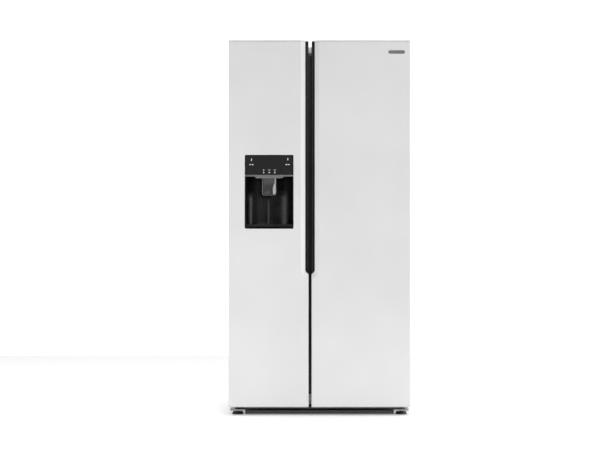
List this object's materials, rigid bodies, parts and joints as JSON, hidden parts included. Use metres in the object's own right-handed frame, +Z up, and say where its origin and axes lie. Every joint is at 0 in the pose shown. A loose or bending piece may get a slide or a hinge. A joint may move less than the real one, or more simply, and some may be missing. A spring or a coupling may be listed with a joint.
{
  "type": "side by side refrigerator",
  "caption": "Tall white refrigerator-freezer with paired full-height doors, a shared recessed grip, an ice and water dispenser and pull-out drawers.",
  "frame": {"origin": "on the floor, under the middle of the overall box", "axes": "+X to the right facing the doors, +Y from the doors to the back, +Z up"},
  "size_m": [0.868, 0.74, 1.79],
  "materials": {
    "white_enamel": "gloss white coated steel",
    "white_cap": "moulded white plastic",
    "liner_white": "vacuum-formed liner",
    "foam": "rigid foam",
    "gasket_vinyl": "soft magnetic vinyl",
    "dark_plastic": "fine-textured dark plastic",
    "panel_gloss": "glossy dark touch panel",
    "trim_metal": "satin trim",
    "smoke_paddle": "smoke translucent",
    "clear_plastic": "clear moulded plastic",
    "shelf_glass": "tempered glass",
    "kick_dark": "dark grey plastic",
    "zinc_steel": "zinc-plated steel",
    "foot_plastic": "hard dark plastic",
    "fan_plastic": "moulded fan plastic",
    "compressor_black": "black enamelled steel",
    "coil_aluminium": "plain fin stock",
    "grey_plastic": "grey plastic",
    "blue_plastic": "white-blue plastic"
  },
  "bodies": {
    "cabinet": {"base_pan": "zinc_steel", "cabinet_foam": "foam", "cabinet_shell": "white_enamel", "compressor": "compressor_black", "compressor_bay_cover": "zinc_steel", "condenser_coil": "compressor_black", "condenser_fan_motor": "compressor_black", "cord_gland": "dark_plastic", "drain_pan": "grey_plastic", "evaporator": "coil_aluminium", "evaporator_cover": "liner_white", "freezer_liner": "liner_white", "fridge_air_duct": "liner_white", "fridge_liner": "liner_white", "glass_shelves": "shelf_glass", "hinge_covers": "white_cap", "hinge_screws": "zinc_steel", "ice_bucket": "clear_plastic", "ice_maker": "grey_plastic", "kick_plate": "kick_dark", "lower_hinge_left": "zinc_steel", "lower_hinge_right": "zinc_steel", "mullion_cover": "dark_plastic", "rear_panel": "zinc_steel", "upper_hinge_left": "zinc_steel", "upper_hinge_right": "zinc_steel", "water_filter": "blue_plastic", "water_inlet_valve": "blue_plastic"},
    "freezer_door": {"freezer_door_panel": "white_enamel", "freezer_door_caps": "white_cap", "freezer_door_foam": "foam", "freezer_door_liner": "liner_white", "freezer_door_gasket": "gasket_vinyl", "freezer_handle_profile": "dark_plastic", "freezer_door_bins": "clear_plastic", "dispenser_housing": "dark_plastic", "control_panel": "panel_gloss", "dispenser_trim": "trim_metal", "drip_tray": "dark_plastic"},
    "fridge_door": {"fridge_door_panel": "white_enamel", "fridge_door_caps": "white_cap", "fridge_door_foam": "foam", "fridge_door_liner": "liner_white", "fridge_door_gasket": "gasket_vinyl", "fridge_handle_profile": "dark_plastic", "fridge_door_bins": "clear_plastic", "badge": "trim_metal"},
    "paddle": {"dispenser_paddle": "smoke_paddle"},
    "chute_flap": {"ice_chute_flap": "kick_dark"},
    "crisper_lower": {"crisper_drawer_lower": "clear_plastic"},
    "crisper_upper": {"crisper_drawer_upper": "clear_plastic"},
    "freezer_basket_lower": {"freezer_drawer_lower": "clear_plastic"},
    "freezer_basket_upper": {"freezer_drawer_upper": "clear_plastic"},
    "foot_left": {"levelling_foot_left": "foot_plastic"},
    "foot_right": {"levelling_foot_right": "foot_plastic"},
    "roller_left": {"rear_roller_left": "foot_plastic"},
    "roller_right": {"rear_roller_right": "foot_plastic"},
    "freezer_fan": {"evaporator_fan": "fan_plastic"},
    "bay_fan": {"condenser_fan": "fan_plastic"},
    "auger": {"ice_auger": "fan_plastic"}
  },
  "joints": [
    {"name": "freezer_door_hinge", "type": "hinge", "parent": "cabinet", "child": "freezer_door", "pos_m": [-0.414, -0.333, 0.0405], "axis": [0, 0, -1], "range_deg": [0, 130]},
    {"name": "fridge_door_hinge", "type": "hinge", "parent": "cabinet", "child": "fridge_door", "pos_m": [0.414, -0.333, 0.0405], "axis": [0, 0, 1], "range_deg": [0, 130]},
    {"name": "paddle_pivot", "type": "hinge", "parent": "freezer_door", "child": "paddle", "pos_m": [-0.23972, -0.347, 1.1396], "axis": [1, 0, 0], "range_deg": [0, 15], "stiffness_Nm_per_rad": 0.4, "springref_deg": -11.46},
    {"name": "chute_flap_pivot", "type": "hinge", "parent": "freezer_door", "child": "chute_flap", "pos_m": [-0.23972, -0.343, 1.2277], "axis": [-1, 0, 0], "range_deg": [0, 70.5]},
    {"name": "crisper_lower_slide", "type": "slide", "parent": "cabinet", "child": "crisper_lower", "axis": [0, -1, 0], "range_m": [0, 0.25]},
    {"name": "crisper_upper_slide", "type": "slide", "parent": "cabinet", "child": "crisper_upper", "axis": [0, -1, 0], "range_m": [0, 0.25]},
    {"name": "freezer_lower_slide", "type": "slide", "parent": "cabinet", "child": "freezer_basket_lower", "axis": [0, -1, 0], "range_m": [0, 0.25]},
    {"name": "freezer_upper_slide", "type": "slide", "parent": "cabinet", "child": "freezer_basket_upper", "axis": [0, -1, 0], "range_m": [0, 0.25]},
    {"name": "foot_left_screw", "type": "slide", "parent": "cabinet", "child": "foot_left", "axis": [0, 0, -1], "range_m": [-0.004, 0.012]},
    {"name": "foot_right_screw", "type": "slide", "parent": "cabinet", "child": "foot_right", "axis": [0, 0, -1], "range_m": [-0.004, 0.012]},
    {"name": "roller_left_spin", "type": "hinge", "parent": "cabinet", "child": "roller_left", "pos_m": [-0.383, 0.304, 0.02], "axis": [1, 0, 0], "continuous": true},
    {"name": "roller_right_spin", "type": "hinge", "parent": "cabinet", "child": "roller_right", "pos_m": [0.383, 0.304, 0.02], "axis": [1, 0, 0], "continuous": true},
    {"name": "freezer_fan_spin", "type": "hinge", "parent": "cabinet", "child": "freezer_fan", "pos_m": [-0.2285, 0.289, 0.795], "axis": [0, 1, 0], "continuous": true},
    {"name": "bay_fan_spin", "type": "hinge", "parent": "cabinet", "child": "bay_fan", "pos_m": [-0.03, 0.2565, 0.137], "axis": [1, 0, 0], "continuous": true},
    {"name": "auger_spin", "type": "hinge", "parent": "cabinet", "child": "auger", "pos_m": [-0.23972, 0, 1.4397], "axis": [0, 1, 0], "continuous": true}
  ],
  "couplings": [
    {"joint": "crisper_lower_slide", "follows": "fridge_door_hinge", "m_per_rad": 0.11},
    {"joint": "crisper_upper_slide", "follows": "fridge_door_hinge", "m_per_rad": 0.11},
    {"joint": "freezer_lower_slide", "follows": "freezer_door_hinge", "m_per_rad": 0.11},
    {"joint": "freezer_upper_slide", "follows": "freezer_door_hinge", "m_per_rad": 0.11},
    {"joint": "chute_flap_pivot", "follows": "paddle_pivot", "ratio": 4.6667}
  ]
}
